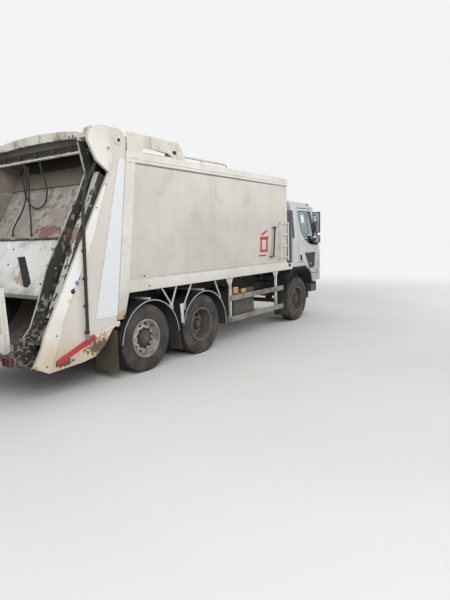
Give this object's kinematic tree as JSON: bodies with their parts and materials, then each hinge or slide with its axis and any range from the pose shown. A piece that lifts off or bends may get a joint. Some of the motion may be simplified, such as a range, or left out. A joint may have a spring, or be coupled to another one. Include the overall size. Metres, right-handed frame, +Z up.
{
  "type": "garbage truck",
  "caption": "Weathered three-axle rear-loading refuse truck with day cab, lifting tailgate, sliding packer and bin lift.",
  "frame": {"origin": "on the ground under the middle of the overall length and width", "axes": "+X forward along the truck, +Y to its left, +Z up"},
  "size_m": [9.18, 2.86, 3.5529],
  "materials": {
    "body_white": "weathered gloss",
    "tail_white": "weathered gloss",
    "hopper_steel": "worn, rusty",
    "cab_white": "weathered gloss",
    "frame_dark": "dusty",
    "cast_steel": "rusty",
    "guard_grey": "weathered",
    "rim_silver": "dusty",
    "rim_brown": "dusty",
    "tyre_black": "dusty",
    "plastic_black": "dusty",
    "lift_red": "worn",
    "bar_chrome": "polished",
    "clear_glass": "clear",
    "lamp_glass": "clear",
    "lamp_red": "dusty",
    "seat_cloth": "worn"
  },
  "bodies": {
    "chassis": {"chassis_frame": "frame_dark", "engine": "cast_steel", "front_axle": "cast_steel", "drive_axle": "cast_steel", "tag_axle": "cast_steel", "leaf_springs": "cast_steel", "fuel_tank": "guard_grey", "battery_box": "plastic_black", "side_guards": "guard_grey", "guard_struts": "guard_grey", "rear_mudguards": "plastic_black", "front_mudguards": "plastic_black", "rear_flaps": "plastic_black", "front_bumper": "cab_white", "headlamps": "lamp_glass", "air_intake": "plastic_black", "body_sides": "body_white", "body_roof": "body_white", "body_floor": "body_white", "body_front_wall": "body_white", "cylinder_covers": "body_white", "ladder": "guard_grey"},
    "tailgate": {"tailgate_sides": "tail_white", "tailgate_top": "tail_white", "hopper_floor": "hopper_steel", "packer_barrels": "plastic_black", "tail_lamps": "lamp_red", "tailgate_pipes": "plastic_black", "bin_lift_frame": "lift_red"},
    "packer_carriage": {"carriage": "hopper_steel", "packer_rods": "bar_chrome", "feed_hoses": "plastic_black"},
    "blade": {"packer_blade": "tail_white"},
    "bin_lift": {"bin_lift_comb": "lift_red"},
    "cylinder_barrels": {"lift_barrels": "plastic_black"},
    "cylinder_rods": {"lift_rods": "bar_chrome"},
    "cab": {"cab_shell": "cab_white", "windscreen": "clear_glass", "dashboard": "plastic_black", "seats": "seat_cloth"},
    "right_door": {"door_right": "cab_white", "door_glass_right": "clear_glass", "mirror_right": "plastic_black"},
    "right_knuckle": {"knuckle_right": "cast_steel"},
    "right_front_wheel": {"front_tyre_right": "tyre_black", "front_rim_right": "rim_brown"},
    "right_drive_wheel": {"drive_tyres_right": "tyre_black", "drive_rims_right": "rim_silver"},
    "right_tag_wheel": {"tag_tyre_right": "tyre_black", "tag_rim_right": "rim_silver"},
    "left_door": {"door_left": "cab_white", "door_glass_left": "clear_glass", "mirror_left": "plastic_black"},
    "left_knuckle": {"knuckle_left": "cast_steel"},
    "left_front_wheel": {"front_tyre_left": "tyre_black", "front_rim_left": "rim_brown"},
    "left_drive_wheel": {"drive_tyres_left": "tyre_black", "drive_rims_left": "rim_silver"},
    "left_tag_wheel": {"tag_tyre_left": "tyre_black", "tag_rim_left": "rim_silver"}
  },
  "joints": [
    {"name": "tailgate_hinge", "type": "hinge", "parent": "chassis", "child": "tailgate", "pos_m": [-2.427, 0, 3.395], "axis": [0, 1, 0], "range_deg": [0, 80]},
    {"name": "carriage_slide", "type": "slide", "parent": "tailgate", "child": "packer_carriage", "axis": [-0.5045, 0, -0.8634], "range_m": [0, 0.6]},
    {"name": "blade_hinge", "type": "hinge", "parent": "packer_carriage", "child": "blade", "pos_m": [-3.04994, 0, 1.9848], "axis": [0, 1, 0], "range_deg": [0, 70]},
    {"name": "bin_lift_turn", "type": "hinge", "parent": "tailgate", "child": "bin_lift", "pos_m": [-4.252, 0, 0.86], "axis": [0, 1, 0], "range_deg": [0, 70]},
    {"name": "lift_barrel_turn", "type": "hinge", "parent": "chassis", "child": "cylinder_barrels", "pos_m": [-1.13, 0, 3.41], "axis": [0, 1, 0], "range_deg": [0, 13.21]},
    {"name": "lift_rod_slide", "type": "slide", "parent": "cylinder_barrels", "child": "cylinder_rods", "axis": [0.9985, 0, -0.0541], "range_m": [0, 0.3571]},
    {"name": "cab_tilt", "type": "hinge", "parent": "chassis", "child": "cab", "pos_m": [4.375, 0, 0.85], "axis": [0, 1, 0], "range_deg": [0, 50]},
    {"name": "right_door_hinge", "type": "hinge", "parent": "cab", "child": "right_door", "pos_m": [4.275, -1.253, 1.6], "axis": [0, 0, 1], "range_deg": [0, 70]},
    {"name": "right_steering", "type": "hinge", "parent": "chassis", "child": "right_knuckle", "pos_m": [3.225, -0.92, 0.52], "axis": [0, 0, 1], "range_deg": [-30, 30]},
    {"name": "right_front_spin", "type": "hinge", "parent": "right_knuckle", "child": "right_front_wheel", "pos_m": [3.225, -1.045, 0.52], "axis": [0, 1, 0], "continuous": true},
    {"name": "right_drive_spin", "type": "hinge", "parent": "chassis", "child": "right_drive_wheel", "pos_m": [-0.62, -1.09, 0.52], "axis": [0, 1, 0], "continuous": true},
    {"name": "right_tag_spin", "type": "hinge", "parent": "chassis", "child": "right_tag_wheel", "pos_m": [-1.99, -1.07, 0.52], "axis": [0, 1, 0], "continuous": true},
    {"name": "left_door_hinge", "type": "hinge", "parent": "cab", "child": "left_door", "pos_m": [4.275, 1.253, 1.6], "axis": [0, 0, -1], "range_deg": [0, 70]},
    {"name": "left_steering", "type": "hinge", "parent": "chassis", "child": "left_knuckle", "pos_m": [3.225, 0.92, 0.52], "axis": [0, 0, 1], "range_deg": [-30, 30]},
    {"name": "left_front_spin", "type": "hinge", "parent": "left_knuckle", "child": "left_front_wheel", "pos_m": [3.225, 1.045, 0.52], "axis": [0, 1, 0], "continuous": true},
    {"name": "left_drive_spin", "type": "hinge", "parent": "chassis", "child": "left_drive_wheel", "pos_m": [-0.62, 1.09, 0.52], "axis": [0, 1, 0], "continuous": true},
    {"name": "left_tag_spin", "type": "hinge", "parent": "chassis", "child": "left_tag_wheel", "pos_m": [-1.99, 1.07, 0.52], "axis": [0, 1, 0], "continuous": true}
  ],
  "couplings": [
    {"joint": "lift_barrel_turn", "follows": "tailgate_hinge", "ratio": 0.16141},
    {"joint": "lift_rod_slide", "follows": "tailgate_hinge", "m_per_rad": 0.25429},
    {"joint": "left_steering", "follows": "right_steering", "ratio": 1}
  ]
}
